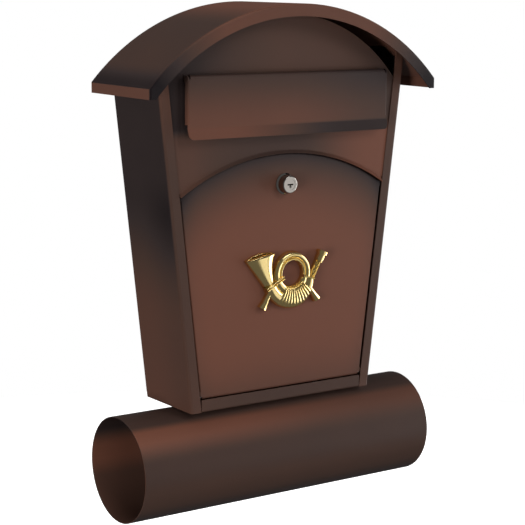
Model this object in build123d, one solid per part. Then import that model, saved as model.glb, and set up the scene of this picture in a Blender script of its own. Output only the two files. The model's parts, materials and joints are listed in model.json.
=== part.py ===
from build123d import *
import math
import os

# A steel mailbox for a wall: a tapered folded box with an arched roof, a letter flap, a lockable
# door hinged at its lower edge and an open newspaper tube below.
# X points right, Y points back to the wall and Z points up. The wall is the plane Y = 0.
# Heights are measured from the lower edge of the box. save() moves the origin to the centre of
# the four wall screw holes, at the back of the box.

SHEET = 1.0
BEND = 1.5
FIT_GAP = 0.05  # between parts that fit one another, on each side
SEAM_GAP = 0.15  # between sheets that lie against one another
BRACKET = 1.2  # thickness of the hinge ears

# box
DEPTH = 90.0
BOTTOM_HALF_WIDTH = 117.0
LEAN = 0.1173
STRIP_WIDTH = 12.3
STRIP_BEND = 2.5
RAIL_HEIGHT = 13.5
RAIL_GAP = 0.4
FLANGE = 10.0
ABOVE_ROOF = 430.0  # height to which a sheet is drawn before the roof trims it

# wall screw holes
SCREW_X = 85.0
SCREW_LOW = 60.0
SCREW_HIGH = 240.0
SCREW_HOLE_RADIUS = 3.0
ORIGIN_HEIGHT = (SCREW_LOW + SCREW_HIGH) / 2

# roof
ROOF_RADIUS = 244.7
ROOF_CENTRE = 180.0
ROOF_HALF_WIDTH = 182.5
EAVE_HEIGHT = 332.0
ROOF_OVERHANG = 26.0
ROOF_BAND = 13.0
ROOF_EDGE_RADIUS = 2.5
ROOF_STEP = 20.0  # how far the front band stands off the box, at least
CLEAT_Y = (-75.0, -15.0)
CLEAT_HEIGHTS = (10.0, 50.0)  # above the eaves
CLEAT_LEG = 17.0

# fascia above the door
FASCIA_Y = -89.0
FASCIA_TOP_RADIUS = 185.3
FASCIA_TOP_CENTRE = 228.7
FASCIA_INSET = 3.5
FASCIA_LOW = 200.0
LIP_RADIUS = 243.0
LIP_CENTRE = 27.9
LIP_OUT = 3.6
LIP_DROP = 2.8
LIP_SIDE_GAP = 0.6

# letter slot and flap
SLOT_HALF_WIDTH = 119.0
SLOT_LOW = 302.0
SLOT_HIGH = 344.0
SLOT_MIDDLE = (SLOT_LOW + SLOT_HIGH) / 2
SLOT_CORNER = 4.0
COLLAR_OUT = 5.0
COLLAR_IN = 4.0
COLLAR_FLANGE = 3.5
FLAP_HALF_WIDTH = 128.0
FLAP_FACE_Y = -100.0
FLAP_BOTTOM = 288.5
FLAP_BEND = 299.5
FLAP_TOP = 353.5
FLAP_RETURN = 5.5
FLAP_LIP_OUT = 3.5
FLAP_LIP_BEND = 3.0
FLAP_CORNER = 6.0
FLAP_CURL_RADIUS = 4.0
FLAP_AXIS_Y = FLAP_FACE_Y + FLAP_CURL_RADIUS
FLAP_AXIS_Z = FLAP_TOP - FLAP_CURL_RADIUS
FLAP_PIN_RADIUS = 1.5
FLAP_EAR_X = 125.3
FLAP_EAR_RADIUS = 2.6
FLAP_EYE_GAP = 0.8  # between the rolled eye and the ear
FLAP_ROD_GAP = 0.3

# door
DOOR_GAP = 1.2
DOOR_TOP_RADIUS = 239.8
DOOR_RETURN = 6.5
DOOR_CURL_RADIUS = 3.0
DOOR_ROD_RADIUS = 2.0
DOOR_AXIS_Y = FASCIA_Y + DOOR_CURL_RADIUS
DOOR_AXIS_Z = 16.9
DOOR_CURL_HALF = 103.0
DOOR_EAR_X = 108.0
DOOR_ROD_OUT = 2.2
DOOR_ROD_HEAD = 0.9
DOOR_FOLD = 4.0  # flat left beside each folded edge
DOOR_FOLD_START = DOOR_AXIS_Z + 5
DOOR_SIDE_TOP = 275.0
ARCH_LOW = 205.0  # where the arched folds begin

# lock
LOCK_HEIGHT = 235.2
LOCK_FLANGE_RADIUS = 11.4
LOCK_FLANGE_THICKNESS = 1.0
LOCK_FACE_RADIUS = 9.25
LOCK_TAPER = 0.5
LOCK_NECK = 1.4
LOCK_RIM_ROUND = 1.1
LOCK_BARREL_RADIUS = 8.0
LOCK_PLUG_RADIUS = 6.0
LOCK_FACE_Y = -100.0
LOCK_BARREL_END = -81.0
LOCK_NUT_RADIUS = 12.7
LOCK_NUT_THICKNESS = 3.0
PLUG_RECESS = 0.3
KEY_SLOT = (7.6, 1.6, 8.0)
KEY_DIMPLE_RADIUS = 1.5
KEY_DIMPLE_DROP = 2.3
CAM_LENGTH = 45.0
CAM_RADIUS = 8.5
CAM_TIP_RADIUS = 5.0
CAM_Y = (-80.5, -78.5)
CAM_SQUARE = 8.0
CAM_SCREW_RADIUS = 1.45
CAM_SCREW_HEAD = 4.6
CAM_SCREW_DEPTH = 3.0
CAM_WASHER_RADIUS = 6.5
STRIKE_HALF = 17.0
STRIKE_HEIGHTS = (270.5, 278.0, 292.0)
STRIKE_GAP = 0.5

# horn emblem
HORN_BACK_Y = FASCIA_Y
HORN_RING = (7.2, 137.4)
HORN_RING_RADIUS = 18.5
HORN_TUBE_RADIUS = 5.0
HORN_STUDS = ((-22.0, 129.0), (28.0, 128.0))
HORN_STUD_RADIUS = 1.5
HORN_RELIEF = 9.0
PUSH_NUT_RADIUS = 5.0
PUSH_NUT_THICKNESS = 0.8
PRESS_GAP = 0.02
# Each taper of the horn: two points as X and height, and the radius at each.
HORN_TAPERS = (
    ((2, 112), (-20, 131), 9, 6),
    ((-20, 131), (-33, 158), 6, 17),
    ((8, 112), (27, 131), 9, 5),
    ((27, 131), (46, 153), 4, 3),
    ((46, 153), (49, 156.5), 3, 7),
    ((-8, 118), (-30, 102), 2.5, 3.5),
    ((20, 121), (41, 106), 2.5, 3.5),
)

# newspaper tube
TUBE_RADIUS = 56.4
TUBE_LENGTH = 372.6
TUBE_SPACER = 1.0
TUBE_Y = -TUBE_RADIUS
TUBE_Z = -TUBE_RADIUS - TUBE_SPACER
TUBE_SCREW_X = 70.0
TUBE_SCREW_RADIUS = 2.5
TUBE_SCREW_GAP = 0.25
TUBE_SCREW_LENGTH = 14.0
SCREW_HEAD = (4.75, 2.8)  # radius and height
SCREW_CROSS = (5.0, 1.0, 1.6)  # length, width and depth
SPACER_RADIUS = 7.0
SADDLE_WASHER = (6.5, 2.5)  # radius and thickness
TUBE_NUT = (4.6, 4.0)  # radius and height


def half_width(height):
    """Half the width of the box over its outer faces at a height."""
    return BOTTOM_HALF_WIDTH + LEAN * height


def trapezoid(low, high, inset):
    """A face between two heights, its sides parallel to the leaning sides of the box."""
    near, far = half_width(low) - inset, half_width(high) - inset
    return Polygon((-near, low), (near, low), (far, high), (-far, high), align=None)


def slab(outline, front, back):
    """An upright plate: an outline in X and Z, given its place and thickness in Y."""
    return extrude(Plane.XZ.offset(-back) * outline, amount=back - front)


def lengthwise(section, low, high):
    """A section in Y and Z, drawn out along X."""
    return extrude(Plane.YZ.offset(low) * section, amount=high - low)


def leaning(section, low, high):
    """A horizontal section at the foot of the box, drawn up along its leaning right side."""
    start = Pos(LEAN * low, 0, low) * section
    return extrude(start, amount=(high - low) * math.hypot(1, LEAN), dir=(LEAN, 0, 1))


def folded(*points, bend=BEND):
    """The section of a folded sheet, from the middle of its thickness."""
    return trace(FilletPolyline(*points, radius=bend), SHEET)


def disc(radius, height):
    """A round outline on the centre line of the box."""
    return Pos(0, height) * Circle(radius)


def spun(section, height):
    """A section in Y and Z, turned round the level axis at a height on the centre line."""
    return revolve(Plane.YZ * section, Axis((0, 0, height), (0, 1, 0)), 360)


def bar(radius, low, high, y, z):
    """A round bar along X."""
    return lengthwise(Pos(y, z) * Circle(radius), low, high)


def plug(radius, x, z, front, back):
    """A round bar along Y."""
    return slab(Pos(x, z) * Circle(radius), front, back)


def both_sides(piece):
    """The piece and its mirror image."""
    return piece + mirror(piece, Plane.YZ)


def roof_underside(radius_gap):
    """The space below the roof sheet, for trimming what meets it."""
    return slab(disc(ROOF_RADIUS - SHEET - radius_gap, ROOF_CENTRE), -DEPTH - 1, 1)


def side_panel():
    """The right side: a leaning sheet with a strip folded round to the front."""
    middle = BOTTOM_HALF_WIDTH - SHEET / 2
    front = -DEPTH + SHEET / 2
    strip_edge = BOTTOM_HALF_WIDTH - STRIP_WIDTH
    section = folded((middle, 0), (middle, front), (strip_edge, front), bend=STRIP_BEND)
    return leaning(section, 0, ABOVE_ROOF) & roof_underside(SEAM_GAP)


def back_panel():
    """The back sheet, with returns welded inside the two sides and four wall screw holes."""
    underside = disc(ROOF_RADIUS - SHEET - SEAM_GAP, ROOF_CENTRE)
    panel = slab(trapezoid(0, ABOVE_ROOF, SHEET + FIT_GAP) & underside, -SHEET, 0)
    strip = Pos(BOTTOM_HALF_WIDTH - 1.5 * SHEET, -FLANGE / 2 - SHEET / 2) * Rectangle(SHEET, FLANGE)
    panel += both_sides(leaning(strip, FLANGE + 4, EAVE_HEIGHT))
    for x in (-SCREW_X, SCREW_X):
        for height in (SCREW_LOW, SCREW_HIGH):
            panel -= plug(SCREW_HOLE_RADIUS, x, height, -DEPTH / 2, 1)
    return panel


def bottom_panel():
    """The floor tray: its front flange is the rail below the door."""
    front = -DEPTH + SHEET / 2
    back = -1.5 * SHEET
    section = folded((front, RAIL_HEIGHT), (front, SHEET / 2), (back, SHEET / 2), (back, FLANGE))
    inner_half = BOTTOM_HALF_WIDTH - SHEET
    rail_half = BOTTOM_HALF_WIDTH - STRIP_WIDTH - RAIL_GAP
    panel = lengthwise(section, -inner_half, inner_half)
    notch = Box(2 * (inner_half - rail_half), 2 * (STRIP_BEND + SHEET), 3 * RAIL_HEIGHT)
    panel -= both_sides(Pos(inner_half, -DEPTH, 0) * notch)
    flange = Pos(BOTTOM_HALF_WIDTH - 1.5 * SHEET, -DEPTH / 2) * Rectangle(SHEET, DEPTH - 2 * FLANGE)
    panel += both_sides(leaning(flange, 0, FLANGE))
    for x in (-TUBE_SCREW_X, TUBE_SCREW_X):
        panel -= Pos(x, TUBE_Y, 0) * Cylinder(TUBE_SCREW_RADIUS + TUBE_SCREW_GAP, FLANGE)
    return panel


def slot_outline(margin):
    """The letter slot's outline, grown by a margin."""
    return Pos(0, SLOT_MIDDLE) * RectangleRounded(
        2 * (SLOT_HALF_WIDTH + margin), SLOT_HIGH - SLOT_LOW + 2 * margin, SLOT_CORNER + margin)


def front_fascia():
    """The sheet above the door: slot, arched top, and a flared drip lip round its lower edge."""
    sheet_middle = FASCIA_Y + SHEET / 2
    face_edge = LIP_RADIUS + 2 * BEND
    outline = trapezoid(FASCIA_LOW, ABOVE_ROOF, FASCIA_INSET)
    outline &= disc(FASCIA_TOP_RADIUS, FASCIA_TOP_CENTRE)
    outline -= disc(face_edge, LIP_CENTRE)
    outline -= slot_outline(SHEET + FIT_GAP)
    fascia = slab(outline, FASCIA_Y, FASCIA_Y + SHEET)
    lip = Pos(0, LIP_CENTRE) * folded(
        (sheet_middle, face_edge),
        (sheet_middle, LIP_RADIUS),
        (sheet_middle - LIP_OUT, LIP_RADIUS - LIP_DROP))
    between_strips = slab(
        trapezoid(ARCH_LOW, EAVE_HEIGHT, STRIP_WIDTH + LIP_SIDE_GAP), -DEPTH - FLANGE, 0)
    return fascia + (spun(lip, LIP_CENTRE) & between_strips)


def letter_slot_collar():
    """The flanged sleeve that lines the letter slot and stands a little proud of the fascia."""
    sleeve = slot_outline(SHEET) - slot_outline(0)
    flange = slot_outline(COLLAR_FLANGE) - slot_outline(0)
    return (
        slab(sleeve, FASCIA_Y - COLLAR_OUT, FASCIA_Y + COLLAR_IN)
        + slab(flange, FASCIA_Y - SHEET, FASCIA_Y))


def roof_block(inset, edge_radius):
    """A block with the roof's outline, its front and eave edges rounded."""
    outline = disc(ROOF_RADIUS - inset, ROOF_CENTRE)
    above_eaves = Rectangle(
        2 * (ROOF_HALF_WIDTH - inset), ROOF_RADIUS, align=(Align.CENTER, Align.MIN))
    outline &= Pos(0, EAVE_HEIGHT - inset) * above_eaves
    front = -DEPTH - ROOF_OVERHANG + inset
    block = slab(outline, front, inset)
    eave_edges = block.edges().filter_by(Axis.Y).group_by(Axis.Z)[-1]
    front_edges = block.faces().sort_by(Axis.Y)[0].edges().sort_by(Axis.Z)[1:]
    return fillet(eave_edges + front_edges, edge_radius)


def roof():
    """The pressed roof: an arched sheet with a front band and upright eave lips, open below."""
    shell = roof_block(0, ROOF_EDGE_RADIUS) - roof_block(SHEET, ROOF_EDGE_RADIUS - SHEET)
    mouth = disc(ROOF_RADIUS - ROOF_BAND, ROOF_CENTRE)
    shell -= slab(mouth, -DEPTH - ROOF_OVERHANG - SHEET, -DEPTH - ROOF_STEP)
    behind_wall = slab(disc(2 * ROOF_RADIUS, ROOF_CENTRE), 0, DEPTH)
    return shell - behind_wall


def roof_cleat():
    """The right-hand cleat: one leg on the side panel, the other curved along the roof."""
    low, high = (EAVE_HEIGHT + height for height in CLEAT_HEIGHTS)
    underside = disc(ROOF_RADIUS - SHEET, ROOF_CENTRE)
    curved_leg = (underside - disc(ROOF_RADIUS - 2 * SHEET, ROOF_CENTRE)) & trapezoid(low, high, SHEET)
    side_leg = (trapezoid(low, high, SHEET) - trapezoid(low, high, 2 * SHEET)) & underside
    right_end = Pos(half_width(high), (low + high) / 2) * Rectangle(2 * CLEAT_LEG, 2 * (high - low))
    return slab((curved_leg + side_leg) & right_end, *CLEAT_Y)


def letter_flap():
    """The flap: a shallow pan with a rolled hinge eye along its top and a flared lower lip."""
    middle = FLAP_FACE_Y + SHEET / 2
    back = FLAP_FACE_Y + FLAP_RETURN
    lip_top = FLAP_BEND + FLAP_LIP_BEND + SHEET
    eye_half = FLAP_EAR_X - FLAP_EYE_GAP
    face = Pos(middle, (lip_top + FLAP_AXIS_Z) / 2) * Rectangle(SHEET, FLAP_AXIS_Z - lip_top)
    axis = Pos(FLAP_AXIS_Y, FLAP_AXIS_Z)
    rolled = axis * Circle(FLAP_CURL_RADIUS) + face - axis * Circle(FLAP_CURL_RADIUS - SHEET)
    flap = lengthwise(rolled, -eye_half, eye_half)
    side = FLAP_HALF_WIDTH - SHEET / 2
    corner = folded((eye_half, middle), (side, middle), (side, back))
    flap += both_sides(extrude(Pos(0, 0, lip_top) * corner, amount=FLAP_AXIS_Z - lip_top))
    flap += both_sides(
        lengthwise(axis * Circle(FLAP_CURL_RADIUS), FLAP_HALF_WIDTH - SHEET, FLAP_HALF_WIDTH))
    lip_section = folded(
        (middle, lip_top), (middle, FLAP_BEND), (middle - FLAP_LIP_OUT, FLAP_BOTTOM),
        bend=FLAP_LIP_BEND)
    lip = lengthwise(lip_section, -FLAP_HALF_WIDTH, FLAP_HALF_WIDTH)
    rounded = Pos(0, (FLAP_TOP + FLAP_BOTTOM) / 2) * RectangleRounded(
        2 * FLAP_HALF_WIDTH, FLAP_TOP - FLAP_BOTTOM, FLAP_CORNER)
    return flap + (lip & slab(rounded, FLAP_FACE_Y - 2 * FLAP_LIP_OUT, FASCIA_Y))


def flap_ear():
    """The right-hand ear: a foot on the fascia and an upright that carries the hinge pin."""
    axis = Pos(FLAP_AXIS_Y, FLAP_AXIS_Z)
    reach = FASCIA_Y - FLAP_AXIS_Y
    upright = axis * Circle(FLAP_EAR_RADIUS)
    upright += Pos(FLAP_AXIS_Y + reach / 2, FLAP_AXIS_Z) * Rectangle(reach, 2 * FLAP_EAR_RADIUS)
    upright -= axis * Circle(FLAP_PIN_RADIUS + FIT_GAP)
    ear = lengthwise(upright, FLAP_EAR_X, FLAP_EAR_X + BRACKET)
    foot = Pos(FLAP_EAR_X - BRACKET / 2, FLAP_AXIS_Z) * Rectangle(3 * BRACKET, 3 * FLAP_EAR_RADIUS)
    return ear + slab(foot, FASCIA_Y - SHEET, FASCIA_Y)


def flap_hinge_rod():
    """The flap's rod: it fills the rolled eye, and its turned-down ends sit in the ears."""
    body_half = FLAP_EAR_X - FLAP_ROD_GAP
    end = FLAP_HALF_WIDTH - SHEET - FLAP_ROD_GAP
    rod = bar(FLAP_CURL_RADIUS - SHEET - FIT_GAP, -body_half, body_half, FLAP_AXIS_Y, FLAP_AXIS_Z)
    return rod + bar(FLAP_PIN_RADIUS, -end, end, FLAP_AXIS_Y, FLAP_AXIS_Z)


def door_panel():
    """The door: a tapered sheet with an arched top, folded returns and a rolled hinge eye."""
    inset = STRIP_WIDTH + DOOR_GAP
    middle = FASCIA_Y + SHEET / 2
    back = FASCIA_Y + DOOR_RETURN
    flat = disc(DOOR_TOP_RADIUS - DOOR_FOLD, LIP_CENTRE)
    flat &= trapezoid(DOOR_FOLD_START, DOOR_SIDE_TOP, inset + DOOR_FOLD)
    face = trapezoid(DOOR_AXIS_Z, DOOR_FOLD_START, inset) + flat
    door = slab(face, FASCIA_Y, FASCIA_Y + SHEET)
    edge = BOTTOM_HALF_WIDTH - inset
    corner = folded(
        (edge - DOOR_FOLD, middle), (edge - SHEET / 2, middle), (edge - SHEET / 2, back))
    side = leaning(corner, DOOR_FOLD_START, DOOR_SIDE_TOP)
    below_arch = slab(disc(DOOR_TOP_RADIUS - SHEET / 2, LIP_CENTRE), -DEPTH, 0)
    door += both_sides(side & below_arch)
    top = Pos(0, LIP_CENTRE) * folded(
        (middle, DOOR_TOP_RADIUS - DOOR_FOLD),
        (middle, DOOR_TOP_RADIUS - SHEET / 2),
        (back, DOOR_TOP_RADIUS - SHEET / 2))
    door += spun(top, LIP_CENTRE) & slab(trapezoid(ARCH_LOW, DOOR_SIDE_TOP, inset), -DEPTH, 0)
    eye = Circle(DOOR_CURL_RADIUS) - Circle(DOOR_ROD_RADIUS + FIT_GAP)
    axis = Pos(DOOR_AXIS_Y, DOOR_AXIS_Z)
    door -= bar(
        DOOR_ROD_RADIUS + FIT_GAP, -BOTTOM_HALF_WIDTH, BOTTOM_HALF_WIDTH, DOOR_AXIS_Y, DOOR_AXIS_Z)
    door += lengthwise(axis * eye, -DOOR_CURL_HALF, DOOR_CURL_HALF)
    door -= plug(LOCK_BARREL_RADIUS + FIT_GAP, 0, LOCK_HEIGHT, -DEPTH, 0)
    for x, height in HORN_STUDS:
        door -= plug(HORN_STUD_RADIUS + FIT_GAP, x, height, -DEPTH, 0)
    return door


def door_ear():
    """The right-hand bracket on the floor tray that carries one end of the door's rod."""
    axis = Pos(DOOR_AXIS_Y, DOOR_AXIS_Z)
    radius = DOOR_CURL_RADIUS - 4 * FIT_GAP
    upright = axis * Circle(radius)
    below = Rectangle(2 * radius, DOOR_AXIS_Z - SHEET)
    upright += Pos(DOOR_AXIS_Y, (DOOR_AXIS_Z + SHEET) / 2) * below
    upright -= axis * Circle(DOOR_ROD_RADIUS + FIT_GAP)
    ear = lengthwise(upright, DOOR_EAR_X, DOOR_EAR_X + BRACKET)
    foot = Pos(DOOR_EAR_X - 4, DOOR_AXIS_Y + 2, 1.5 * SHEET) * Box(10, 8, SHEET)
    return ear + foot


def door_hinge_rod():
    """The rod through the door's rolled edge, with a flattened head outside each ear."""
    end = DOOR_EAR_X + DOOR_ROD_OUT
    rod = bar(DOOR_ROD_RADIUS, -end, end, DOOR_AXIS_Y, DOOR_AXIS_Z)
    head = bar(DOOR_CURL_RADIUS, end - DOOR_ROD_HEAD, end, DOOR_AXIS_Y, DOOR_AXIS_Z)
    return rod + both_sides(head)


def lock_strike():
    """The bent catch behind the fascia that the lock's cam turns behind."""
    welded = FASCIA_Y + 1.5 * SHEET
    catch = CAM_Y[0] - STRIKE_GAP - SHEET / 2
    low, bend, high = STRIKE_HEIGHTS
    section = folded((welded, high), (welded, bend), (catch, bend), (catch, low))
    return lengthwise(section, -STRIKE_HALF, STRIKE_HALF)


def lock_housing():
    """The lock's body: a domed head on the door and a round barrel through it."""
    flange_front = FASCIA_Y - LOCK_FLANGE_THICKNESS
    head = Polyline(
        (FASCIA_Y, 0), (FASCIA_Y, LOCK_FLANGE_RADIUS), (flange_front, LOCK_FLANGE_RADIUS),
        (flange_front - LOCK_NECK, LOCK_FACE_RADIUS + LOCK_TAPER), (LOCK_FACE_Y, LOCK_FACE_RADIUS),
        (LOCK_FACE_Y, 0), close=True)
    housing = spun(Pos(0, LOCK_HEIGHT) * make_face(head), LOCK_HEIGHT)
    rim = housing.edges().filter_by(GeomType.CIRCLE).sort_by(Axis.Y)[0]
    housing = fillet(rim, LOCK_RIM_ROUND)
    housing += plug(LOCK_BARREL_RADIUS, 0, LOCK_HEIGHT, flange_front, LOCK_BARREL_END)
    return housing - plug(LOCK_PLUG_RADIUS + FIT_GAP, 0, LOCK_HEIGHT, 2 * LOCK_FACE_Y, 0)


def lock_nut():
    """The hexagon nut behind the door."""
    hexagon = Pos(0, LOCK_HEIGHT) * RegularPolygon(LOCK_NUT_RADIUS, 6)
    hexagon -= disc(LOCK_BARREL_RADIUS + FIT_GAP, LOCK_HEIGHT)
    return slab(hexagon, FASCIA_Y + SHEET, FASCIA_Y + SHEET + LOCK_NUT_THICKNESS)


def lock_plug():
    """The turning plug: a key slot in its face and a square tail for the cam."""
    barrel = plug(
        LOCK_PLUG_RADIUS, 0, LOCK_HEIGHT, LOCK_FACE_Y + PLUG_RECESS, LOCK_BARREL_END + PLUG_RECESS)
    square = Pos(0, LOCK_HEIGHT) * Rectangle(CAM_SQUARE, CAM_SQUARE)
    barrel += slab(square, LOCK_BARREL_END, CAM_Y[1] - 4 * FIT_GAP)
    width, height, depth = KEY_SLOT
    slot = Pos(0, LOCK_HEIGHT) * RectangleRounded(width, height, height / 3)
    barrel -= slab(slot, LOCK_FACE_Y, LOCK_FACE_Y + depth)
    barrel -= Pos(0, LOCK_FACE_Y, LOCK_HEIGHT - KEY_DIMPLE_DROP) * Sphere(KEY_DIMPLE_RADIUS)
    bore_end = LOCK_BARREL_END - CAM_SCREW_DEPTH - SHEET
    return barrel - plug(CAM_SCREW_RADIUS + FIT_GAP, 0, LOCK_HEIGHT, bore_end, 0)


def lock_cam():
    """The cam: a flat lever, stored level and turned up behind the strike to lock."""
    tip = CAM_LENGTH - CAM_TIP_RADIUS
    outline = Circle(CAM_RADIUS) + Pos(tip, 0) * Circle(CAM_TIP_RADIUS)
    outline += Polygon(
        (0, -CAM_RADIUS), (tip, -CAM_TIP_RADIUS), (tip, CAM_TIP_RADIUS), (0, CAM_RADIUS), align=None)
    outline -= Rectangle(CAM_SQUARE + 2 * FIT_GAP, CAM_SQUARE + 2 * FIT_GAP)
    return slab(Pos(0, LOCK_HEIGHT) * outline, *CAM_Y)


def lock_cam_screw():
    """The screw that holds the cam on the plug's tail."""
    washer_back = CAM_Y[1] + SHEET
    hexagon = Pos(0, LOCK_HEIGHT) * RegularPolygon(CAM_SCREW_HEAD, 6)
    head = slab(hexagon, washer_back, washer_back + CAM_SCREW_HEAD / 2)
    start = LOCK_BARREL_END - CAM_SCREW_DEPTH
    return head + plug(CAM_SCREW_RADIUS, 0, LOCK_HEIGHT, start, washer_back + SHEET / 2)


def lock_cam_washer():
    """The washer between the cam and its screw."""
    ring = disc(CAM_WASHER_RADIUS, LOCK_HEIGHT) - disc(CAM_SCREW_RADIUS + SEAM_GAP, LOCK_HEIGHT)
    return slab(ring, CAM_Y[1], CAM_Y[1] + SHEET)


def cone_between(start, end, start_radius, end_radius):
    """A round taper in the plane of the emblem, between two points given as X and height."""
    dx, dz = end[0] - start[0], end[1] - start[1]
    length = math.hypot(dx, dz)
    place = Plane(origin=(start[0], HORN_BACK_Y - SHEET, start[1]), z_dir=(dx, 0, dz))
    return place * Cone(start_radius, end_radius, length, align=(Align.CENTER, Align.CENTER, Align.MIN))


def horn_emblem():
    """A plain postal horn in low relief: one coil, a flared bell, a mouthpiece and two tassels."""
    ring_x, ring_height = HORN_RING
    coil_place = Plane(origin=(ring_x, HORN_BACK_Y - 2 * SHEET, ring_height), z_dir=(0, 1, 0))
    horn = coil_place * Torus(HORN_RING_RADIUS, HORN_TUBE_RADIUS)
    for taper in HORN_TAPERS:
        horn += cone_between(*taper)
    horn += slab(Pos(5, 112) * Ellipse(20, 11.5), HORN_BACK_Y - HORN_RELIEF, HORN_BACK_Y)
    horn &= slab(disc(LIP_RADIUS, 0), HORN_BACK_Y - HORN_RELIEF, HORN_BACK_Y)
    for x, height in HORN_STUDS:
        horn += plug(HORN_STUD_RADIUS, x, height, HORN_BACK_Y - 2 * SHEET, HORN_BACK_Y + 5 * SHEET)
    return horn


def emblem_push_nuts():
    """The push nuts on the emblem's studs, behind the door."""
    front = FASCIA_Y + SHEET
    ring = Circle(PUSH_NUT_RADIUS) - Circle(HORN_STUD_RADIUS + PRESS_GAP)
    return [
        slab(Pos(x, height) * ring, front, front + PUSH_NUT_THICKNESS) for x, height in HORN_STUDS]


def newspaper_tube():
    """The open tube, drilled along its top for two screws."""
    ring = Pos(TUBE_Y, TUBE_Z) * (Circle(TUBE_RADIUS) - Circle(TUBE_RADIUS - SHEET))
    tube = lengthwise(ring, -TUBE_LENGTH / 2, TUBE_LENGTH / 2)
    for x in (-TUBE_SCREW_X, TUBE_SCREW_X):
        tube -= Pos(x, TUBE_Y, 0) * Cylinder(TUBE_SCREW_RADIUS + TUBE_SCREW_GAP, TUBE_RADIUS)
    return tube


def tube_screws():
    """Pan-head screws from the floor of the box into the tube."""
    on_sheet = (Align.CENTER, Align.CENTER, Align.MIN)
    radius, height = SCREW_HEAD
    length, width, depth = SCREW_CROSS
    head = Pos(0, 0, SHEET) * Cylinder(radius, height, align=on_sheet)
    head = fillet(head.edges().group_by(Axis.Z)[-1], BRACKET)
    cross = Box(length, width, depth, align=on_sheet) + Box(width, length, depth, align=on_sheet)
    head -= Pos(0, 0, height) * cross
    hanging = (Align.CENTER, Align.CENTER, Align.MAX)
    shank = Cylinder(TUBE_SCREW_RADIUS, TUBE_SCREW_LENGTH, align=hanging)
    screw = head + Pos(0, 0, 2 * SHEET) * shank
    return [Pos(x, TUBE_Y, 0) * screw for x in (-TUBE_SCREW_X, TUBE_SCREW_X)]


def tube_spacers():
    """Flat washers that keep the tube off the floor of the box."""
    ring = extrude(Circle(SPACER_RADIUS) - Circle(TUBE_SCREW_RADIUS + FIT_GAP), amount=-TUBE_SPACER)
    return [Pos(x, TUBE_Y, 0) * ring for x in (-TUBE_SCREW_X, TUBE_SCREW_X)]


def tube_saddle_washers():
    """Washers inside the tube, rounded on top to its curve."""
    radius, thickness = SADDLE_WASHER
    ring = Circle(radius) - Circle(TUBE_SCREW_RADIUS + FIT_GAP)
    block = Pos(0, TUBE_Y, -TUBE_SPACER - SHEET) * extrude(ring, amount=-thickness)
    washer = block & bar(TUBE_RADIUS - SHEET - FIT_GAP, -radius, radius, TUBE_Y, TUBE_Z)
    return [Pos(x, 0, 0) * washer for x in (-TUBE_SCREW_X, TUBE_SCREW_X)]


def tube_nuts():
    """Hexagon nuts on the tube screws."""
    top = -TUBE_SPACER - SHEET - SADDLE_WASHER[1]
    radius, height = TUBE_NUT
    nut = extrude(RegularPolygon(radius, 6) - Circle(TUBE_SCREW_RADIUS + PRESS_GAP), amount=-height)
    return [Pos(x, TUBE_Y, top) * nut for x in (-TUBE_SCREW_X, TUBE_SCREW_X)]


def save(name, piece):
    """Write one node, with its origin at the centre of the wall screw holes."""
    solids = piece if isinstance(piece, list) else piece.solids()
    lowered = [Pos(0, 0, -ORIGIN_HEIGHT) * solid for solid in solids]
    shape = lowered[0] if len(lowered) == 1 else Compound(children=lowered)
    export_step(shape, f"parts/{name}.step")


def main():
    os.makedirs("parts", exist_ok=True)
    single = [
        back_panel, bottom_panel, front_fascia, letter_slot_collar, roof, letter_flap,
        flap_hinge_rod, door_panel, door_hinge_rod, lock_strike, lock_housing, lock_nut, lock_plug,
        lock_cam, lock_cam_screw, lock_cam_washer, horn_emblem, emblem_push_nuts, newspaper_tube,
        tube_screws, tube_spacers, tube_saddle_washers, tube_nuts]
    for make in single:
        save(make.__name__, make())
    handed = {
        "side_panel": side_panel, "roof_cleat": roof_cleat,
        "flap_ear": flap_ear, "door_ear": door_ear}
    for name, make in handed.items():
        piece = make()
        save(f"right_{name}", piece)
        save(f"left_{name}", mirror(piece, Plane.YZ))


main()
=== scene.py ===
"""A wall mounted mailbox: the finishes of its sheets, lock and hardware, its brass horn and the
studio."""

import json
import math

import bmesh
import bpy
from bpy.props import FloatProperty, FloatVectorProperty, IntProperty, PointerProperty
from mathutils import Matrix, Vector


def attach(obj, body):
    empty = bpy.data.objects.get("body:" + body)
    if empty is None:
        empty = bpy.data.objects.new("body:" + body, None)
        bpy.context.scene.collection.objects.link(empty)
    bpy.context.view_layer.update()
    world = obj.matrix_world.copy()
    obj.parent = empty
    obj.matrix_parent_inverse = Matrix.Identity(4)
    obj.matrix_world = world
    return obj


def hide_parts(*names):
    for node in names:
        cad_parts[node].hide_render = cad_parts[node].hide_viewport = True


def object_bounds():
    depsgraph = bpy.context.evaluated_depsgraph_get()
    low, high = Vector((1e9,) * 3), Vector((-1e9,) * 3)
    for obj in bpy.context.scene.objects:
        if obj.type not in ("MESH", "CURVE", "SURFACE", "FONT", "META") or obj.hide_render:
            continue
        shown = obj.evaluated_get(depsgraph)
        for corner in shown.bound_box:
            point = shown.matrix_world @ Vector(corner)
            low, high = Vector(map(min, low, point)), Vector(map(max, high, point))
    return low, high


bl_info = {
    "name": "Wall Mailbox",
    "version": (1, 0, 0),
    "blender": (4, 5, 0),
    "location": "View3D > Sidebar > Mailbox",
    "description": "Finishes a wall mailbox, casts its brass horn and lights it",
    "category": "Object",
}

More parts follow.
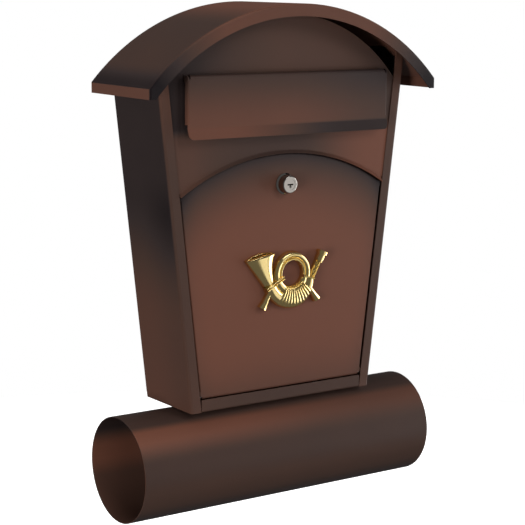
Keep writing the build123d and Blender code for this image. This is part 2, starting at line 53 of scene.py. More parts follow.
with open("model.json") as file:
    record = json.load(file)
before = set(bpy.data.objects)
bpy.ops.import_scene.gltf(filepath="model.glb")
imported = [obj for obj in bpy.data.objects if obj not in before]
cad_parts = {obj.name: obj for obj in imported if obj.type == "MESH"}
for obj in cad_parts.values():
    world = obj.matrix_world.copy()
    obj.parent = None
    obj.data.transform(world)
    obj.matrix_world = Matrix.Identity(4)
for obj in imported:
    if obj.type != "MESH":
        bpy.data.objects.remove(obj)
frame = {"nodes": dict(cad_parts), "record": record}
CAD_BOX = [list(corner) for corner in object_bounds()]

MM = 0.001
DOOR = "door"  # the body that the door, its lock and its horn ride on

# Millimetres, measured up from the foot of the box and out from the wall.
ORIGIN_HEIGHT = 150  # from the foot of the box up to the frame's origin
BOTTOM_HALF_WIDTH, LEAN, STRIP_WIDTH = 117, 0.1173, 12.3
STRIP_BACK, STRIP_FRONT = 87.0, 89.5
LIP_RADIUS, LIP_CENTRE = 243, 27.9
FLAP_LIP_FOOT, FLAP_LIP_HEAD = 298, 302
ROOF_RADIUS, ROOF_CENTRE, BAND_BACK, BAND_FRONT = 244.7, 180, 114, 115.5
TUBE_RADIUS, TUBE_CENTRE_Y, TUBE_CENTRE_Z = 56.4, 56.4, -57.4
NODES_BY_SLOT = {
    slot: [n for n, o in frame["nodes"].items() if o.material_slots[0].name.split(".")[0] == slot]
    for slot in (m["slot"] for m in frame["record"]["materials"])
}


# ---- settings -------------------------------------------------------------------------------


def colour(name, description, default):
    return FloatVectorProperty(
        name=name, description=description, subtype="COLOR", size=3, min=0, max=1, default=default
    )


def share(name, description, default):
    return FloatProperty(
        name=name, description=description, subtype="FACTOR", min=0, max=1, default=default
    )


def number(name, description, default, unit="NONE"):
    return FloatProperty(name=name, description=description, unit=unit, min=0, default=default)


def watts(name, description, default):
    return number(name, f"Power of {description}, in watts", default)


def length(name, description, default):
    return FloatProperty(
        name=name,
        description=description,
        subtype="DISTANCE",
        unit="LENGTH",
        min=0,
        default=default,
    )


class MAILBOX_PG_finish(bpy.types.PropertyGroup):
    """Colours and gloss of the mailbox's materials."""

    # The ramp from shade up to copper colours both the coat's burnish and the light and shade
    # painted into it.
    copper: colour("Copper", "The coat where it is burnished", (0.105, 0.041, 0.026))
    bronze: colour("Bronze", "The coat between burnished and dark", (0.045, 0.025, 0.019))
    umber: colour("Umber", "The coat in its dark parts", (0.025, 0.017, 0.016))
    shade: colour("Shade", "The coat where it is darkest", (0.003, 0.002, 0.003))
    coat_roughness: share("Coat roughness", "Roughness of the powder coat", 0.46)
    peel: length("Orange peel", "Width of the coat's small waves", 0.0022)
    zinc: colour("Zinc", "Colour of the plated hardware", (0.62, 0.62, 0.60))
    chrome: colour("Chrome", "Colour of the lock", (0.40, 0.37, 0.34))
    brass: colour("Brass", "Colour of the horn", (0.92, 0.71, 0.31))
    rubber: colour("Rubber", "Colour of the washers", (0.030, 0.029, 0.028))


class MAILBOX_PG_horn(bpy.types.PropertyGroup):
    """Sizes of the brass horn on the door."""

    relief: length("Relief", "How far the horn stands off the door", 0.0088)
    hole: length("Hole radius", "Radius of the hole in the ring", 0.0133)
    ring: length("Ring radius", "Outer radius of the ring", 0.0241)
    ribs: IntProperty(name="Ribs", description="Turns of the binding", min=3, default=11)


class MAILBOX_PG_stage(bpy.types.PropertyGroup):
    """The floor, the lights and the camera."""

    floor: colour("Floor", "Colour of the floor", (0.93, 0.93, 0.93))
    floor_gap: length("Floor gap", "Air between the newspaper tube and the floor", 0.30)
    floor_radius: length("Floor radius", "Radius of the floor", 1.6)
    floor_glow: number("Floor glow", "Light of the floor's own, which evens it", 0.8)
    key: watts("Key light", "the key light", 32)
    front: watts("Front light", "the front light", 24)
    top: watts("Top light", "the top light", 58)
    strip: watts("Side light", "the strip at the side", 32)
    glint: watts("Glint", "the strip above, seen only in gloss", 16)
    fill: watts("Fill light", "the fill light", 65)
    card: watts("Card", "the card that the front faces mirror", 5.4)
    rear: watts("Rear light", "the light behind", 24)
    air: share("Air", "Brightness of the surround that lights the mailbox", 0.13)
    lens: number("Lens", "Focal length of the camera", 115.54, "CAMERA")
    distance: length("Distance", "From the camera to the mailbox", 1.784)
    azimuth: FloatProperty(
        name="Azimuth",
        description="Where the camera stands round the mailbox",
        subtype="ANGLE",
        default=math.radians(-34.87),
    )
    elevation: FloatProperty(
        name="Elevation",
        description="How high the camera stands",
        subtype="ANGLE",
        default=math.radians(9.83),
    )
    roll: FloatProperty(
        name="Roll", description="The camera's lean", subtype="ANGLE", default=math.radians(0.464)
    )
    target: FloatVectorProperty(
        name="Target",
        description="The point that the camera faces",
        subtype="TRANSLATION",
        size=3,
        default=(-0.02838, -0.090, 0.00304),
    )


# ---- shader nodes ---------------------------------------------------------------------------


class Value:
    """A socket of a finish, so that shader maths is written as Python expressions."""

    def __init__(self, finish, socket):
        self.finish, self.socket = finish, socket

    def maths(self, operation, *values):
        return self.finish.node("ShaderNodeMath", {"operation": operation}, dict(enumerate(values)))

    def __add__(self, other):
        return self.maths("ADD", self, other)

    def __sub__(self, other):
        return self.maths("SUBTRACT", self, other)

    def __rsub__(self, other):
        return self.maths("SUBTRACT", other, self)

    def __mul__(self, other):
        return self.maths("MULTIPLY", self, other)

    def __pow__(self, other):
        return self.maths("POWER", self, other)

    __radd__, __rmul__ = __add__, __mul__

    def rise(self, low, high):
        """0 up to low, 1 from high, and smooth between."""
        return self.finish.node(
            "ShaderNodeMapRange",
            {"interpolation_type": "SMOOTHSTEP"},
            {"Value": self, "From Min": low, "From Max": high},
        )

    def ramp(self, low, high):
        """0 up to low, 1 from high, and straight between."""
        return self.finish.node(
            "ShaderNodeMapRange", sockets={"Value": self, "From Min": low, "From Max": high}
        )

    def fade(self, low, high):
        """1 at low, and 0 at high with a long soft end."""
        fall = 1 - self.ramp(low, high)
        return fall * fall

    def towards(self, other, share):
        """This value where share is 0, and other where it is 1."""
        return self * (1 - share) + share * other


class Finish:
    """One material. node() adds any node: its settings first, then what its sockets get."""

    def __init__(self, name, **surface):
        self.material = bpy.data.materials.new(name)
        self.material.use_nodes = True
        self.tree = self.material.node_tree
        self.tree.nodes.clear()
        self.shader = self.tree.nodes.new("ShaderNodeBsdfPrincipled")
        output = self.tree.nodes.new("ShaderNodeOutputMaterial")
        self.tree.links.new(self.shader.outputs[0], output.inputs["Surface"])
        self.place = self.node("ShaderNodeTexCoord", output="Object")
        self.set(**surface)

    def node(self, kind, settings=None, sockets=None, output=0):
        made = self.tree.nodes.new(kind)
        for setting, value in (settings or {}).items():
            if setting == "stops":
                ramp = made.color_ramp.elements
                while len(ramp) < len(value):
                    ramp.new(1)
                for stop, (position, shade) in zip(ramp, value):
                    stop.position, stop.color = position, (*shade, 1)
            else:
                setattr(made, setting, value)
        for key, value in (sockets or {}).items():
            self.join(made.inputs[key], value)
        return Value(self, made.outputs[output])

    def join(self, socket, value):
        if isinstance(value, Value):
            self.tree.links.new(value.socket, socket)
        elif hasattr(socket.default_value, "__len__") and len(socket.default_value) == 4:
            socket.default_value = (*value, 1)
        else:
            socket.default_value = value

    def set(self, **surface):
        for key, value in surface.items():
            socket = key.replace("_", " ").title().replace("Ior", "IOR")
            self.join(self.shader.inputs[socket], value)

    def noise(self, width, detail=2, roughness=0.5, place=None):
        """Noise whose lumps are about width metres wide."""
        return self.node(
            "ShaderNodeTexNoise",
            {"noise_dimensions": "3D"},
            {
                "Vector": place or self.place,
                "Scale": 1 / width,
                "Detail": detail,
                "Roughness": roughness,
            },
        )

    def stretched(self, x, y, z):
        """The object's coordinates, scaled along each axis."""
        return self.node(
            "ShaderNodeVectorMath", {"operation": "MULTIPLY"}, {0: self.place, 1: (x, y, z)}
        )

    def between(self, factor, low, high):
        """The colour between low and high at factor."""
        return self.node(
            "ShaderNodeMix", {"data_type": "RGBA"}, {"Factor": factor, "A": low, "B": high}, 2
        )

    def bump(self, height, depth, strength=1):
        return self.node(
            "ShaderNodeBump", sockets={"Strength": strength, "Distance": depth, "Height": height}
        )


def tint(shade, factor):
    """A colour, brighter or darker by factor."""
    return tuple(min(1, c * factor) for c in shade)


class Spot:
    """Where a point of a sheet is, in millimetres: x from the centre line, y out from the wall, z
    above the foot of the box, with the maths that the burnish and the painted light and shade use."""

    def __init__(self, finish):
        x, y, z = (
            finish.node("ShaderNodeSeparateXYZ", sockets={0: finish.place}, output=axis)
            for axis in range(3)
        )
        self.x, self.y, self.z = x * 1000, y * -1000, z * 1000 + ORIGIN_HEIGHT
        self.side = self.x.maths("ABSOLUTE", self.x)

    def radius(self, a, b):
        """Length of the vector from two of its parts."""
        return (a * a + b * b) ** 0.5

    def angle(self, a, b):
        """Angle in degrees from b towards a."""
        return self.x.maths("ARCTAN2", a, b) * (180 / math.pi)


def door_burnish_and_painted_shade(at):
    """Partly burnish and partly painted shade: bright, and darker under the drip lip, by the sides
    and at the foot, where shade falls.
    """
    to_lip = LIP_RADIUS - at.radius(at.x, at.z - LIP_CENTRE)
    to_side = BOTTOM_HALF_WIDTH - STRIP_WIDTH + at.z * LEAN - at.side
    shade = to_lip.fade(0, 84) * 0.92 + at.z.fade(14, 75) * 0.32 + to_side.fade(0, 26) * 0.16
    return 0.99 - shade


def flap_burnish_and_painted_light(at):
    """Partly burnish and partly painted light and shade: dark along its top, where the roof's
    shadow is painted, brighter below, and darker towards the right of its lip.
    """
    across = 1 - at.x.rise(-10, 135) * 0.45
    face = (0.33 + 0.45 * (1 - at.z.rise(300, 360))) * across
    # The lip is painted lit on its left and shaded towards its right.
    lip = 0.88 - 0.7 * at.x.rise(-85, 70)
    return face.towards(lip, 1 - at.z.rise(FLAP_LIP_FOOT, FLAP_LIP_HEAD))


def fascia_burnish_and_painted_light(at):
    """Partly burnish and partly painted light and shade: darkest under the roof and at both ends,
    where shade is painted, brightest low on the right, where light is painted.
    """
    above = 0.48 - at.x.fade(-140, 10) * 0.36 - at.x.rise(60, 150) * 0.1
    below = 0.36 + at.x.fade(-115, -40) * 0.2 + at.x.rise(20, 115) * 0.6
    return above.towards(below, 1 - at.z.rise(286, 300))


UNDER_ROOF = 0.75  # how burnished the roof's underside is


def roof_burnish_and_painted_light(at):
    """Partly burnish and partly painted light and shade: bright along its crown, dark down its
    slopes, underneath and at the ends of its band.
    """
    up = at.z - ROOF_CENTRE
    angle = at.angle(at.side, up)
    # Painted shade in the crease where the slope turns down to the eave.
    crease_shade = angle.rise(41, 47.5) * 0.27 - angle.rise(48.2, 49.4) * 0.18
    top = 0.39 + 0.68 * (1 - angle.rise(7, 24)) - crease_shade
    outer_skin = at.radius(at.x, up).rise(ROOF_RADIUS - 0.6, ROOF_RADIUS - 0.2)
    above = top.towards(UNDER_ROOF, 1 - outer_skin)
    band = 0.76 - angle.ramp(23, 46) * 0.72
    return above.towards(band, at.y.rise(BAND_BACK, BAND_FRONT))


def side_burnish_and_painted_shade(at):
    """Partly burnish and partly painted shade: the front strip is even. The side is dark above, in
    painted shade under the roof, and brighter towards its foot.
    """
    panel = 0.19 + 0.44 * (1 - at.z.rise(92, 228)) + at.z.fade(0, 90) * 0.08
    panel = panel - (1 - at.z.rise(200, 260)) * at.y.rise(20, 86) * 0.12
    strip = 0.43 + at.z.rise(240, 370) * 0.16 + at.z.fade(0, 190) * 0.1
    return panel.towards(strip, at.y.rise(STRIP_BACK, STRIP_FRONT))


def tube_burnish_and_painted_light(at):
    """Partly burnish and partly painted light and shade: a bright painted highlight stripe high on
    its front, dark with painted shade below it, and a painted glow inside.
    """
    up, out = at.z - TUBE_CENTRE_Z, at.y - TUBE_CENTRE_Y
    angle = at.angle(out, up)
    # A painted highlight stripe high on the front, a faint painted sheen lower down, and painted
    # shade at the bottom.
    stripe = angle.rise(26, 37) * (1 - angle.rise(44, 72)) * (0.68 - at.x.rise(-120, 110) * 0.34)
    sheen = 0.06 * angle.rise(88, 106)
    outside = 0.37 + stripe + sheen - angle.rise(120, 160) * 0.28
    # A painted glow on the inside wall at mid-height.
    glow = up.rise(-22, 4) * (1 - up.rise(10, 36))
    inside = 0.2 + 0.8 * glow + 0.34 * (1 - up.rise(-16, 6))
    outer_skin = at.radius(up, out).rise(TUBE_RADIUS - 0.8, TUBE_RADIUS - 0.3)
    return outside.towards(inside, 1 - outer_skin)


def rail_burnish_and_painted_light(at):
    """Partly burnish and partly painted light: even, a little brighter at its left end."""
    return 0.4 + at.x.fade(-110, 0) * 0.09


def plain_gradient(at):
    """Darker towards the sides and the top, as the back and the hidden sheets are."""
    return 0.5 - at.side.rise(60, 140) * 0.15 - at.z.rise(250, 400) * 0.12


# Each sheet's mask: partly burnish, partly painted light and shade.
BURNISH_AND_PAINTED_LIGHT = {
    "door_panel": door_burnish_and_painted_shade,
    "letter_flap": flap_burnish_and_painted_light,
    "front_fascia": fascia_burnish_and_painted_light,
    "roof": roof_burnish_and_painted_light,
    "left_side_panel": side_burnish_and_painted_shade,
    "right_side_panel": side_burnish_and_painted_shade,
    "newspaper_tube": tube_burnish_and_painted_light,
    "bottom_panel": rail_burnish_and_painted_light,
}


def brown_coat(look, name, burnish_and_painted_light):
    """Satin powder coat in antique copper, coloured along its ramp by the given mask, which is
    partly burnish and partly painted light and shade: copper where the mask is high, darker
    elsewhere, with a fine orange peel and a little unevenness in its colour and gloss."""
    coat = Finish(name, metallic=0, ior=1.5, specular_ior_level=0.12)
    cloud = coat.noise(0.05, 3)
    peel = coat.noise(look.peel, 2, 0.4)
    grain = coat.noise(0.0005, 1)
    # The mask of burnish and painted light and shade, with random cloud and grain on top.
    bright = burnish_and_painted_light(Spot(coat)) + (cloud - 0.5) * 0.07 + (grain - 0.5) * 0.02
    stops = [(0, look.shade), (0.24, look.umber), (0.43, look.bronze), (1, look.copper)]
    coat.set(
        base_color=coat.node("ShaderNodeValToRGB", {"stops": stops}, {"Fac": bright}),
        roughness=cloud * 0.06 + (look.coat_roughness - 0.04) + grain * 0.02,
        normal=coat.bump(peel + grain * 0.12, 0.00003),
    )
    return coat.material


def zinc_plate(look):
    """Bright zinc: faint rolling marks and a cloudy bloom."""
    zinc = Finish("zinc_plate_finish", metallic=1)
    bloom = zinc.noise(0.006, 4, 0.6)
    marks = zinc.noise(0.0006, 2, 0.5, zinc.stretched(0.08, 1, 1))
    zinc.set(
        base_color=zinc.between(bloom, tint(look.zinc, 0.86), tint(look.zinc, 1.06)),
        roughness=bloom * 0.16 + marks * 0.08 + 0.2,
        normal=zinc.bump(marks + bloom * 0.3, 0.00001),
    )
    return zinc.material


def chrome_plate(look):
    """Chrome: almost a mirror, with hairline polishing marks."""
    chrome = Finish("chrome_plate_finish", metallic=1)
    haze = chrome.noise(0.003, 3)
    hair = chrome.noise(0.0004, 2, 0.5, chrome.stretched(0.1, 1, 1))
    chrome.set(
        base_color=chrome.between(haze, tint(look.chrome, 0.94), tint(look.chrome, 1.04)),
        roughness=haze * 0.05 + hair * 0.05 + 0.05,
        normal=chrome.bump(hair, 0.000004),
    )
    return chrome.material


def polished_brass(look):
    """Cast brass: polished, duller and darker in random patches, with a fine skin."""
    brass = Finish("polished_brass_finish", metallic=1)
    tone = brass.noise(0.008, 3)
    skin = brass.noise(0.0007, 2)
    brass.set(
        base_color=brass.between(tone, tint(look.brass, 0.9), tint(look.brass, 1.06)),
        roughness=tone * 0.08 + skin * 0.04 + 0.13,
        normal=brass.bump(skin + tone * 0.5, 0.00002),
    )
    return brass.material


def black_rubber(look):
    """Moulded rubber: matt, with fine pores and a dusty tone."""
    rubber = Finish("black_rubber_finish", metallic=0, ior=1.45)
    dust = rubber.noise(0.004, 3)
    pores = rubber.noise(0.0003, 2)
    rubber.set(
        base_color=rubber.between(dust, look.rubber, tint(look.rubber, 1.7)),
        roughness=dust * 0.15 + 0.65,
        normal=rubber.bump(pores, 0.00003),
    )
    return rubber.material


def coat_nodes(slot, material):
    """Gives the material to every node of the slot."""
    for name in NODES_BY_SLOT[slot]:
        for held in frame["nodes"][name].material_slots:
            held.material = material


# ---- relief pieces --------------------------------------------------------------------------


HORN_CENTRE = Vector((8.0, -11.4))  # the middle of its ring, in x and z, in millimetres
DOOR_FACE = -0.089  # the door's front face, in metres
THINNEST = 0.02  # no part of the horn is thinner, in millimetres


def lobe(u, centre=0.0, half=1.0, squareness=2.0):
    """Height from 0 to 1 of a rounded bar's section at u."""
    across = min(1.0, abs(u - centre) / half)
    return (1 - across**squareness) ** (1 / squareness)


def relief(mesh, stations, height, columns=28):
    """Adds a closed raised strip to mesh. Each station is its two edge points, in x and z, and
    height(v, u) is how far it stands off the door at v along it, 0 to 1, and u across, -1 to 1."""
    rings, last = [], len(stations) - 1
    for i, (a, b) in enumerate(stations):
        a, b = Vector(a), Vector(b)
        ring = []
        for k in range(columns + 1):
            u = -math.cos(math.pi * k / columns)
            x, z = a.lerp(b, (u + 1) / 2)
            off = 0 if k in (0, columns) else max(THINNEST, height(i / last, u))
            ring.append(mesh.verts.new((x * MM, DOOR_FACE - off * MM, z * MM)))
        rings.append(ring)
    for low, high in zip(rings, rings[1:]):
        for k in range(columns):
            mesh.faces.new((low[k], low[k + 1], high[k + 1], high[k]))
        mesh.faces.new((low[-1], low[0], high[0], high[-1]))
    mesh.faces.new(rings[0][::-1])
    mesh.faces.new(rings[-1])


def make_piece(name, mesh, material, body, corner=40):
    """A piece from a bmesh, with outward faces, smooth apart from edges over corner degrees."""
    bmesh.ops.recalc_face_normals(mesh, faces=mesh.faces[:])
    data = bpy.data.meshes.new(name)
    mesh.to_mesh(data)
    mesh.free()
    data.materials.append(material)
    data.shade_smooth()
    data.set_sharp_from_angle(angle=math.radians(corner))
    piece = bpy.data.objects.new(name, data)
    bpy.context.scene.collection.objects.link(piece)
    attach(piece, body)
    return piece


def width_at(widths, t):
    """The width at t along a taper, 0 to 1, where widths are spread evenly."""
    place = t * (len(widths) - 1)
    i = min(int(place), len(widths) - 2)
    return widths[i] + (widths[i + 1] - widths[i]) * (place - i)


def bezier(points, t):
    """A point on the Bezier curve of points."""
    points = [Vector(p) for p in points]
    while len(points) > 1:
        points = [a.lerp(b, t) for a, b in zip(points, points[1:])]
    return points[0]


def around(angle, radius):
    """The point at that angle, in degrees, and radius round the horn's ring."""
    a = math.radians(angle)
    return HORN_CENTRE + radius * Vector((math.cos(a), math.sin(a)))


def tapered(start, end, widths, steps):
    """Stations of a straight taper, whose widths are spread evenly along it."""
    start, end = Vector(start), Vector(end)
    side = (end - start).orthogonal().normalized()
    made = []
    for i in range(steps + 1):
        half = width_at(widths, i / steps) / 2
        middle = start.lerp(end, i / steps)
        made.append((middle + side * half, middle - side * half))
    return made


def bowed(low, high, gap, bow, below, above, steps=24):
    """Stations of a thin strip beside the line from low to high: gap off it at its ends and bow
    more at its middle, below and above wide each side of its own line."""
    along = (high - low).normalized()
    out = Vector((-along.y, along.x))
    made = []
    for i in range(steps + 1):
        t = i / steps
        middle = low.lerp(high, t) + out * (gap + bow * math.sin(math.pi * t) ** 0.8)
        made.append((middle - out * below, middle + out * above))
    return made


def horn_ring(mesh, look):
    """The ring: a broad tube outside and a narrow one inside."""
    inner, outer, top = look.hole / MM, look.ring / MM, look.relief / MM * 0.86

    def tubes(v, u):
        return top * max(lobe(u, 0.27, 0.73, 2.3), 0.9 * lobe(u, -0.68, 0.32, 2.2))

    relief(mesh, [(around(a, inner), around(a, outer)) for a in range(-18, 203, 3)], tubes)


def horn_body(mesh, look):
    """The thick lower half, with a rope binding round its middle."""
    first, last, steps = 200, 344, 288
    bound_from, bound_to, soft = 236, 322, 3
    inner, top = look.hole / MM + 0.2, look.relief / MM

    def outer(t):
        return 37.6 + 1.0 * math.sin(math.pi * t) - 7.8 * max(0, (t - 0.55) / 0.45) ** 1.6

    def height(v, u):
        angle = first + (last - first) * v
        tubes = max(lobe(u, 0.36, 0.64, 2.3), 0.88 * lobe(u, -0.56, 0.44, 2.2))
        begun = min(1, max(0, (angle - bound_from) / soft))
        bound = begun * min(1, max(0, (bound_to - angle) / soft))
        turn = (angle - bound_from - 2) / (bound_to - bound_from - 4) * look.ribs
        across = 2 * (turn - math.floor(turn)) - 1
        fine = 2 * (2 * turn - math.floor(2 * turn)) - 1
        rope = (1 - 0.92 * across * across) ** 0.5
        thread = (1 - 0.9 * fine * fine) ** 0.5
        mixed = rope + (thread - rope) * min(1, max(0, (-0.45 - u) / 0.2))
        wound = lobe(u, 0, 1, 3.0) * (0.80 + 0.2 * mixed)
        return top * (0.9 * tubes * (1 - bound) + 0.97 * wound * bound)

    stations = []
    for i in range(steps + 1):
        angle = first + (last - first) * i / steps
        stations.append((around(angle, inner), around(angle, outer(i / steps))))
    relief(mesh, stations, height, 40)


def horn_bell(mesh, look):
    """The flaring bell, with its rim and the far lip behind it."""
    left = [around(199, 38.0), Vector((-51.0, 5.6))]
    right = [around(199, 24.0), (-16.2, -14.4), (-20.6, -1.0), (-15.2, 11.6)]
    top, steps = look.relief / MM, 40

    def flare(v, u):
        return top * (0.80 + 0.14 * v) * lobe(u, 0.1, 1.1, 2.1)

    def rim(v, u):
        return top * lobe(u, 0, 1, 2.4) * (0.55 + 0.45 * math.sin(math.pi * v) ** 0.4)

    def lip(v, u):
        return top * 0.42 * lobe(u, 0, 1, 2.4)

    stations = []
    for i in range(steps + 1):
        stations.append((left[0].lerp(left[1], i / steps), bezier(right, i / steps)))
    relief(mesh, stations, flare, 40)
    relief(mesh, bowed(*stations[-1], 0, 1.6, 1.0, 0.9), rim, 14)
    relief(mesh, bowed(*stations[-1], 0.4, 3.6, 0.55, 0.55), lip, 12)


def horn_clamps(mesh, look):
    """The two bands that hold the tubes together."""
    top = look.relief / MM

    def band(v, u):
        return top * 1.02 * lobe(u, 0, 1, 2.6)

    upper, lower = HORN_CENTRE + Vector((-12.6, -3.4)), HORN_CENTRE + Vector((-34.4, -15.1))
    across = (upper - lower).orthogonal().normalized()
    for side in (across * -1.35, across * 1.35):
        relief(mesh, tapered(upper + side, lower + side, (2.5, 2.5), 12), band, 14)
    relief(mesh, tapered(around(-16, 13.6), around(-16, 28.6), (3.1, 3.1), 12), band, 14)


def horn_mouthpipe(mesh, look):
    """The threaded mouthpipe, its collar and its cup."""
    top = look.relief / MM
    start, end = Vector((33.2, -21.6)), Vector((49.0, 7.4))
    way = (end - start).normalized()
    length_of_pipe, pitch = 33.0, 1.5

    def threads(v, u):
        turn = (v * length_of_pipe + 0.2 * u) / pitch
        return top * (0.70 + 0.05 * math.sin(2 * math.pi * turn)) * lobe(u, 0, 1, 2.1)

    def collar(v, u):
        return top * 0.9 * lobe(u, 0, 1, 2.2)

    def cup(v, u):
        return top * lobe(u, 0, 1, 2.4)

    relief(mesh, tapered(start, end, (8.2, 8.4, 8.4), 160), threads, 18)
    relief(mesh, tapered(end - way * 11, end, (8.4, 10.2, 9.8, 10.4), 24), collar, 18)
    relief(mesh, tapered(end - way * 2.2, end + way * 1.4, (12.2, 13.2, 12.6), 12), cup, 18)


def horn_tassels(mesh, look):
    """The two flared cord ends under the horn."""
    top = look.relief / MM

    def strands(v, u):
        return top * (0.6 + 0.16 * v) * lobe(u, 0, 1, 2.2) * (1 + 0.03 * math.cos(9 * u))

    relief(mesh, tapered((-19.5, -29.8), (-29.8, -46.9), (6.4, 7.0, 8.0, 10.8), 24), strands, 20)
    relief(mesh, tapered((31.8, -29.3), (42.3, -42.9), (6.4, 7.0, 7.8, 10.2), 24), strands, 20)


HORN_PIECES = {
    "horn_ring": horn_ring,
    "horn_body": horn_body,
    "horn_bell": horn_bell,
    "horn_clamps": horn_clamps,
    "horn_mouthpipe": horn_mouthpipe,
    "horn_tassels": horn_tassels,
}


# ---- operators ------------------------------------------------------------------------------


class MAILBOX_OT_coated_sheets(bpy.types.Operator):
    """Gives every folded sheet the brown powder coat"""

    bl_idname = "mailbox.coated_sheets"
    bl_label = "Coated Sheets"

    def execute(self, context):
        look = context.scene.mailbox_finish
        plain = brown_coat(look, "coat_plain", plain_gradient)
        for name in NODES_BY_SLOT["brown_coat"]:
            # Each listed sheet gets its own mask of burnish and painted light and shade.
            burnish_and_painted_light = BURNISH_AND_PAINTED_LIGHT.get(name)
            coat = brown_coat(look, f"coat_{name}", burnish_and_painted_light) if burnish_and_painted_light else plain
            for held in frame["nodes"][name].material_slots:
                held.material = coat
        return {"FINISHED"}


class MAILBOX_OT_hardware(bpy.types.Operator):
    """Plates the rods, ears, cleats, screws and nuts, and blackens the rubber washers"""

    bl_idname = "mailbox.hardware"
    bl_label = "Hardware"

    def execute(self, context):
        look = context.scene.mailbox_finish
        coat_nodes("zinc_plate", zinc_plate(look))
        coat_nodes("black_rubber", black_rubber(look))
        return {"FINISHED"}


class MAILBOX_OT_lock(bpy.types.Operator):
    """Chromes the lock"""

    bl_idname = "mailbox.lock"
    bl_label = "Lock"

    def execute(self, context):
        coat_nodes("chrome_plate", chrome_plate(context.scene.mailbox_finish))
        return {"FINISHED"}


class MAILBOX_OT_horn(bpy.types.Operator):
    """Casts the brass horn on the door"""

    bl_idname = "mailbox.horn"
    bl_label = "Horn"

    def execute(self, context):
        brass = polished_brass(context.scene.mailbox_finish)
        coat_nodes("polished_brass", brass)
        for name, shape in HORN_PIECES.items():
            mesh = bmesh.new()
            shape(mesh, context.scene.mailbox_horn)
            piece = make_piece(name, mesh, brass, DOOR)
            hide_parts("horn_emblem")
        return {"FINISHED"}


def aim(thing, place, target, roll=0.0):
    """Puts a light or camera at place and points it at target."""
    turn = (Vector(target) - Vector(place)).to_track_quat("-Z", "Y").to_matrix().to_4x4()
    thing.matrix_world = Matrix.Translation(place) @ turn @ Matrix.Rotation(roll, 4, "Z")


# Each lamp's place, its width and height, and the rays that don't see it. All in metres.
LIT_POINT = (0, -0.05, 0)
LAMPS = {
    "key": ((1.1, -2.2, 1.45), (0.9, 0.9), "glossy"),
    "front": ((-0.6, -2.8, 0.1), (1.2, 1.2), "glossy"),
    "strip": ((2.2, -0.9, -0.1), (0.8, 1.8), None),
    "glint": ((0.5, -1.9, 2.0), (1.6, 0.4), "diffuse"),
    "fill": ((-2.5, -1.2, -0.1), (0.9, 0.9), "glossy"),
    "top": ((-0.3, 0.2, 2.9), (1.2, 1.2), "glossy"),
    "card": ((1.6, -2.3, -0.5), (1.4, 1.4), None),
    "rear": ((-1.5, 2.4, 0.4), (1.6, 1.6), "glossy"),
}


def hang_lamps(scene, look):
    """Hangs every lamp, faced to the mailbox."""
    for name, (place, size, blind) in LAMPS.items():
        lamp = bpy.data.lights.new(name, "AREA")
        lamp.shape, (lamp.size, lamp.size_y) = "RECTANGLE", size
        lamp.energy = getattr(look, name)
        hung = bpy.data.objects.new(name, lamp)
        scene.collection.objects.link(hung)
        aim(hung, place, LIT_POINT)
        if blind:
            setattr(hung, f"visible_{blind}", False)


def studio_air(scene, brightness):
    """The world: white behind the mailbox, and a dimmer surround for its light and reflections."""
    world = bpy.data.worlds.new("studio_air")
    scene.world = world
    world.use_nodes = True
    tree = world.node_tree
    tree.nodes.clear()
    path = tree.nodes.new("ShaderNodeLightPath")
    shown, lit = tree.nodes.new("ShaderNodeBackground"), tree.nodes.new("ShaderNodeBackground")
    shown.inputs["Color"].default_value = (1, 1, 1, 1)
    lit.inputs["Color"].default_value = (brightness, brightness, brightness, 1)
    mix, output = tree.nodes.new("ShaderNodeMixShader"), tree.nodes.new("ShaderNodeOutputWorld")
    tree.links.new(path.outputs["Is Camera Ray"], mix.inputs[0])
    tree.links.new(lit.outputs[0], mix.inputs[1])
    tree.links.new(shown.outputs[0], mix.inputs[2])
    tree.links.new(mix.outputs[0], output.inputs[0])


def lay_floor(scene, look):
    """A pale round floor, which neither lights the mailbox nor shows in its gloss."""
    paint = Finish("floor_paint", metallic=0)
    mottle = paint.noise(0.25, 2)
    paint.set(
        base_color=paint.between(mottle, tint(look.floor, 0.99), look.floor),
        roughness=mottle * 0.05 + 0.75,
        emission_color=look.floor,
        emission_strength=look.floor_glow,
    )
    mesh = bmesh.new()
    bmesh.ops.create_circle(mesh, cap_ends=True, segments=96, radius=look.floor_radius)
    data = bpy.data.meshes.new("floor")
    mesh.to_mesh(data)
    mesh.free()
    data.materials.append(paint.material)
    floor = bpy.data.objects.new("floor", data)
    floor.location.z = CAD_BOX[0][2] - look.floor_gap
    floor.visible_diffuse = floor.visible_glossy = False
    scene.collection.objects.link(floor)


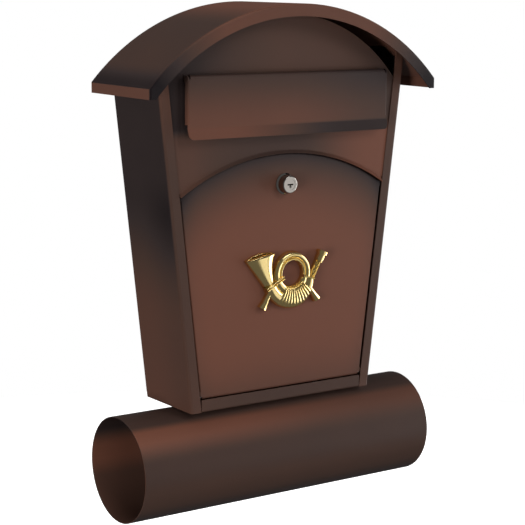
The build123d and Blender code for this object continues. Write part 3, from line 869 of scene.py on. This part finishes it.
def set_camera(scene, look):
    """Sets the camera at its distance from the target, at its azimuth and elevation."""
    camera = bpy.data.objects.new("camera", bpy.data.cameras.new("camera"))
    camera.data.lens, camera.data.sensor_width, camera.data.clip_end = look.lens, 36, 50
    scene.collection.objects.link(camera)
    level = math.cos(look.elevation)
    back = Vector(
        (
            math.sin(look.azimuth) * level,
            -math.cos(look.azimuth) * level,
            math.sin(look.elevation),
        )
    )
    target = Vector(look.target)
    aim(camera, target + back * look.distance, target, look.roll)
    scene.camera = camera


class MAILBOX_OT_stage(bpy.types.Operator):
    """Lays the pale floor, lights the mailbox and sets the camera"""

    bl_idname = "mailbox.stage"
    bl_label = "Stage"

    def execute(self, context):
        scene, look = context.scene, context.scene.mailbox_stage
        scene.view_settings.view_transform = "Standard"
        studio_air(scene, look.air)
        lay_floor(scene, look)
        hang_lamps(scene, look)
        set_camera(scene, look)
        return {"FINISHED"}


STEPS = (
    MAILBOX_OT_stage,
    MAILBOX_OT_coated_sheets,
    MAILBOX_OT_hardware,
    MAILBOX_OT_lock,
    MAILBOX_OT_horn,
)


class MAILBOX_PT_steps(bpy.types.Panel):
    """The settings and the steps, in order"""

    bl_label = "Mailbox"
    bl_idname = "MAILBOX_PT_steps"
    bl_space_type = "VIEW_3D"
    bl_region_type = "UI"
    bl_category = "Mailbox"

    def draw(self, context):
        for group in GROUPS:
            settings = getattr(context.scene, group)
            for name in type(settings).__annotations__:
                self.layout.prop(settings, name)
        for step in STEPS:
            self.layout.operator(step.bl_idname)


GROUPS = {
    "mailbox_finish": MAILBOX_PG_finish,
    "mailbox_horn": MAILBOX_PG_horn,
    "mailbox_stage": MAILBOX_PG_stage,
}


def register():
    for group in (*GROUPS.values(), *STEPS, MAILBOX_PT_steps):
        bpy.utils.register_class(group)
    for name, group in GROUPS.items():
        setattr(bpy.types.Scene, name, PointerProperty(type=group))


def unregister():
    for name in GROUPS:
        delattr(bpy.types.Scene, name)
    for group in (MAILBOX_PT_steps, *reversed(STEPS), *GROUPS.values()):
        bpy.utils.unregister_class(group)


def main():
    register()
    for step in STEPS:
        family, name = step.bl_idname.split(".")
        getattr(getattr(bpy.ops, family), name)()


if __name__ == "__main__":
    main()
